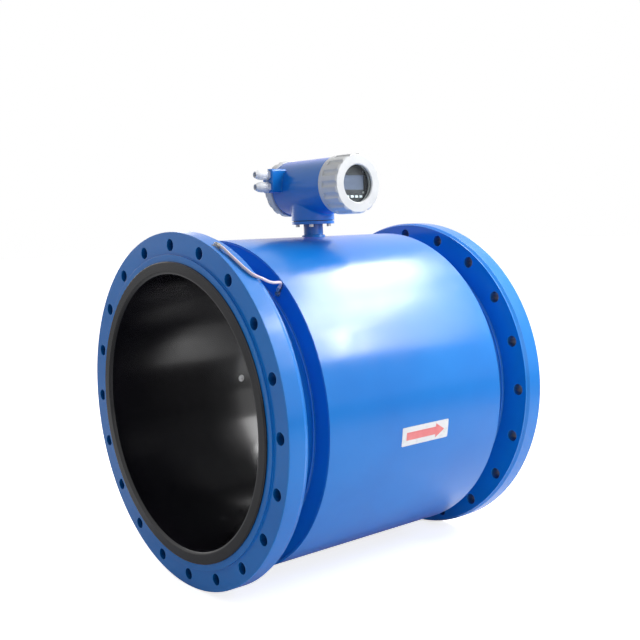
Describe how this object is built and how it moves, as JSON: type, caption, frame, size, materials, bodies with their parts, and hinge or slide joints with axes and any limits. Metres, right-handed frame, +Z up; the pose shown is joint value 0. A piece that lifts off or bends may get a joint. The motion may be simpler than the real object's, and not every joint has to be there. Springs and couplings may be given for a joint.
{
  "type": "electromagnetic flow meter",
  "caption": "Flanged, rubber-lined magnetic flow sensor pipe with a round compact converter on a short neck, a windowed screw cover with display, cable glands and a bonding lead.",
  "frame": {"origin": "on the pipe axis, midway between the two flange plates", "axes": "+X is the direction of flow, +Z points up to the converter, and the display faces -Y"},
  "size_m": [0.76, 0.78, 0.9379],
  "materials": {
    "blue_paint": "glossy enamel",
    "white_paint": "glossy enamel",
    "black_rubber": "smooth semi-gloss",
    "seal_rubber": "matt",
    "stainless": "brushed",
    "core_steel": "matt",
    "copper_winding": "varnished winding",
    "insulator": "matt",
    "glass": "clear polished",
    "bezel_plastic": "fine matt",
    "lcd_glass": "smooth",
    "key_plastic": "satin",
    "board_laminate": "satin",
    "terminal_plastic": "matt",
    "gland_nylon": "satin",
    "label_film": "satin",
    "lead_sheath": "smooth",
    "tinned_copper": "satin"
  },
  "bodies": {
    "sensor": {"inlet_flange": "blue_paint", "outlet_flange": "blue_paint", "measuring_tube": "blue_paint", "rubber_liner": "black_rubber", "housing_shell": "blue_paint", "inlet_end_plate": "blue_paint", "outlet_end_plate": "blue_paint", "upper_coil": "copper_winding", "lower_coil": "copper_winding", "upper_pole_piece": "core_steel", "lower_pole_piece": "core_steel", "magnetic_yoke": "core_steel", "near_electrode": "stainless", "far_electrode": "stainless", "near_electrode_bush": "insulator", "far_electrode_bush": "insulator", "near_electrode_nut": "stainless", "far_electrode_nut": "stainless", "flow_arrow_label": "label_film", "rim_lug": "tinned_copper", "shell_lug": "tinned_copper", "lead_screws": "stainless", "bonding_lead": "lead_sheath", "neck_pipe": "blue_paint", "neck_plate": "blue_paint", "neck_gasket": "seal_rubber", "neck_screws": "stainless", "converter_housing": "blue_paint", "front_cover_seal": "seal_rubber", "rear_cover_seal": "seal_rubber", "display_bezel": "bezel_plastic", "lcd_panel": "lcd_glass", "display_board": "board_laminate", "display_screws": "stainless", "board_posts": "stainless", "power_board": "board_laminate", "signal_board": "board_laminate", "terminal_block": "terminal_plastic", "terminal_screws": "stainless", "upper_gland_body": "gland_nylon", "lower_gland_body": "gland_nylon"},
    "front_window": {"window_glass": "glass", "window_gasket": "seal_rubber"},
    "front_cover": {"front_cover": "white_paint", "window_retainer": "white_paint"},
    "rear_cover_gasket": {"rear_gasket": "seal_rubber"},
    "rear_cover": {"rear_cover": "white_paint"},
    "upper_gland_seal": {"upper_gland_seal": "seal_rubber"},
    "upper_gland_nut": {"upper_gland_nut": "gland_nylon"},
    "lower_gland_seal": {"lower_gland_seal": "seal_rubber"},
    "lower_gland_nut": {"lower_gland_nut": "gland_nylon"},
    "display_key_1": {"display_key_1": "key_plastic"},
    "display_key_2": {"display_key_2": "key_plastic"},
    "display_key_3": {"display_key_3": "key_plastic"},
    "display_key_4": {"display_key_4": "key_plastic"}
  },
  "joints": [
    {"name": "front_cover_travel", "type": "slide", "parent": "sensor", "child": "front_window", "axis": [0, -1, 0], "range_m": [0, 0.0162]},
    {"name": "front_cover_turn", "type": "hinge", "parent": "front_window", "child": "front_cover", "pos_m": [0.02, -0.133, 0.482], "axis": [0, -1, 0], "range_deg": [0, 2880]},
    {"name": "rear_cover_travel", "type": "slide", "parent": "sensor", "child": "rear_cover_gasket", "axis": [0, 1, 0], "range_m": [0, 0.0162]},
    {"name": "rear_cover_turn", "type": "hinge", "parent": "rear_cover_gasket", "child": "rear_cover", "pos_m": [0.02, 0.087, 0.482], "axis": [0, 1, 0], "range_deg": [0, 2880]},
    {"name": "upper_gland_travel", "type": "slide", "parent": "sensor", "child": "upper_gland_seal", "axis": [-1, 0, 0], "range_m": [0, 0.006]},
    {"name": "upper_gland_turn", "type": "hinge", "parent": "upper_gland_seal", "child": "upper_gland_nut", "pos_m": [-0.09, 0.053, 0.513], "axis": [-1, 0, 0], "range_deg": [0, 1444]},
    {"name": "lower_gland_travel", "type": "slide", "parent": "sensor", "child": "lower_gland_seal", "axis": [-1, 0, 0], "range_m": [0, 0.006]},
    {"name": "lower_gland_turn", "type": "hinge", "parent": "lower_gland_seal", "child": "lower_gland_nut", "pos_m": [-0.09, 0.053, 0.485], "axis": [-1, 0, 0], "range_deg": [0, 1444]},
    {"name": "display_key_1_press", "type": "slide", "parent": "sensor", "child": "display_key_1", "axis": [0, 1, 0], "range_m": [0, 0.0008], "stiffness_N_per_m": 200, "springref_m": -0.0005},
    {"name": "display_key_2_press", "type": "slide", "parent": "sensor", "child": "display_key_2", "axis": [0, 1, 0], "range_m": [0, 0.0008], "stiffness_N_per_m": 200, "springref_m": -0.0005},
    {"name": "display_key_3_press", "type": "slide", "parent": "sensor", "child": "display_key_3", "axis": [0, 1, 0], "range_m": [0, 0.0008], "stiffness_N_per_m": 200, "springref_m": -0.0005},
    {"name": "display_key_4_press", "type": "slide", "parent": "sensor", "child": "display_key_4", "axis": [0, 1, 0], "range_m": [0, 0.0008], "stiffness_N_per_m": 200, "springref_m": -0.0005}
  ],
  "couplings": [
    {"joint": "front_cover_travel", "follows": "front_cover_turn", "m_per_rad": 0.00031831},
    {"joint": "rear_cover_travel", "follows": "rear_cover_turn", "m_per_rad": 0.00031831},
    {"joint": "upper_gland_turn", "follows": "upper_gland_travel", "rad_per_m": 4188.8},
    {"joint": "lower_gland_turn", "follows": "lower_gland_travel", "rad_per_m": 4188.8}
  ]
}
